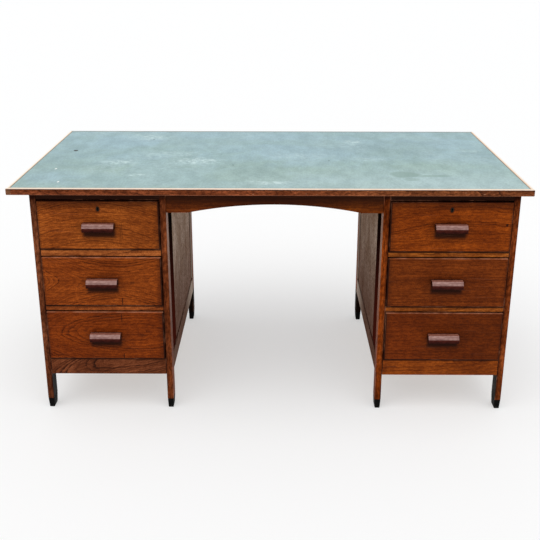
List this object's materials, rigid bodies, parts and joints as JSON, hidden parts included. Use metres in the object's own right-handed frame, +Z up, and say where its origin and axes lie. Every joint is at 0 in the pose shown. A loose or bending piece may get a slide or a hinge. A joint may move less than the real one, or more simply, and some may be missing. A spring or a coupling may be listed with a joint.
{
  "type": "teacher desk",
  "caption": "Twin-pedestal wooden desk with a linoleum-inlaid overhanging top, open kneehole under an arched apron, bar-handled drawers and short legs in black feet.",
  "frame": {"origin": "on the floor, under the middle of the top", "axes": "+X to the right seen from the front, -Y towards the sitter, +Z up"},
  "size_m": [1.524, 0.85, 0.73],
  "materials": {
    "oak_carcass": "worn satin varnish on oak",
    "oak_front": "worn satin varnish on figured oak",
    "oak_panel": "faded varnish on oak",
    "core_board": "unpolished underside",
    "lipping": "varnished edge, rubbed pale on top",
    "linoleum": "worn grey-green linoleum, satin",
    "mahogany": "polished red-brown hardwood",
    "drawer_lining": "bare softwood and plywood",
    "black_foot": "black satin caps",
    "lock_metal": "dark tarnished steel"
  },
  "bodies": {
    "base": {"top_board": "core_board", "top_lino": "linoleum", "lipping_front": "lipping", "lipping_back": "lipping", "lipping_left": "lipping", "lipping_right": "lipping", "apron_front": "oak_carcass", "apron_back": "oak_carcass", "leg_left_outer_front": "oak_carcass", "foot_left_outer_front": "black_foot", "leg_left_outer_back": "oak_carcass", "foot_left_outer_back": "black_foot", "side_left_outer": "oak_panel", "leg_left_inner_front": "oak_carcass", "foot_left_inner_front": "black_foot", "leg_left_inner_back": "oak_carcass", "foot_left_inner_back": "black_foot", "side_left_inner": "oak_panel", "back_left": "oak_panel", "rail_left_top": "oak_carcass", "rail_left_upper": "oak_carcass", "rail_left_lower": "oak_carcass", "rail_left_bottom": "oak_carcass", "leg_right_outer_front": "oak_carcass", "foot_right_outer_front": "black_foot", "leg_right_outer_back": "oak_carcass", "foot_right_outer_back": "black_foot", "side_right_outer": "oak_panel", "leg_right_inner_front": "oak_carcass", "foot_right_inner_front": "black_foot", "leg_right_inner_back": "oak_carcass", "foot_right_inner_back": "black_foot", "side_right_inner": "oak_panel", "back_right": "oak_panel", "rail_right_top": "oak_carcass", "rail_right_upper": "oak_carcass", "rail_right_lower": "oak_carcass", "rail_right_bottom": "oak_carcass"},
    "drawer_left_top": {"drawer_left_top_front": "oak_front", "drawer_left_top_box": "drawer_lining", "drawer_left_top_handle": "mahogany", "lock_left": "lock_metal"},
    "drawer_left_middle": {"drawer_left_middle_front": "oak_front", "drawer_left_middle_box": "drawer_lining", "drawer_left_middle_handle": "mahogany"},
    "drawer_left_bottom": {"drawer_left_bottom_front": "oak_front", "drawer_left_bottom_box": "drawer_lining", "drawer_left_bottom_handle": "mahogany"},
    "bolt_left": {"bolt_left": "lock_metal"},
    "drawer_right_top": {"drawer_right_top_front": "oak_front", "drawer_right_top_box": "drawer_lining", "drawer_right_top_handle": "mahogany", "lock_right": "lock_metal"},
    "drawer_right_middle": {"drawer_right_middle_front": "oak_front", "drawer_right_middle_box": "drawer_lining", "drawer_right_middle_handle": "mahogany"},
    "drawer_right_bottom": {"drawer_right_bottom_front": "oak_front", "drawer_right_bottom_box": "drawer_lining", "drawer_right_bottom_handle": "mahogany"},
    "bolt_right": {"bolt_right": "lock_metal"}
  },
  "joints": [
    {"name": "slide_left_top", "type": "slide", "parent": "base", "child": "drawer_left_top", "axis": [0, -1, 0], "range_m": [0, 0.45]},
    {"name": "slide_left_middle", "type": "slide", "parent": "base", "child": "drawer_left_middle", "axis": [0, -1, 0], "range_m": [0, 0.45]},
    {"name": "slide_left_bottom", "type": "slide", "parent": "base", "child": "drawer_left_bottom", "axis": [0, -1, 0], "range_m": [0, 0.45]},
    {"name": "bolt_slide_left", "type": "slide", "parent": "drawer_left_top", "child": "bolt_left", "axis": [0, 0, 1], "range_m": [0, 0.008]},
    {"name": "slide_right_top", "type": "slide", "parent": "base", "child": "drawer_right_top", "axis": [0, -1, 0], "range_m": [0, 0.45]},
    {"name": "slide_right_middle", "type": "slide", "parent": "base", "child": "drawer_right_middle", "axis": [0, -1, 0], "range_m": [0, 0.45]},
    {"name": "slide_right_bottom", "type": "slide", "parent": "base", "child": "drawer_right_bottom", "axis": [0, -1, 0], "range_m": [0, 0.45]},
    {"name": "bolt_slide_right", "type": "slide", "parent": "drawer_right_top", "child": "bolt_right", "axis": [0, 0, 1], "range_m": [0, 0.008]}
  ]
}
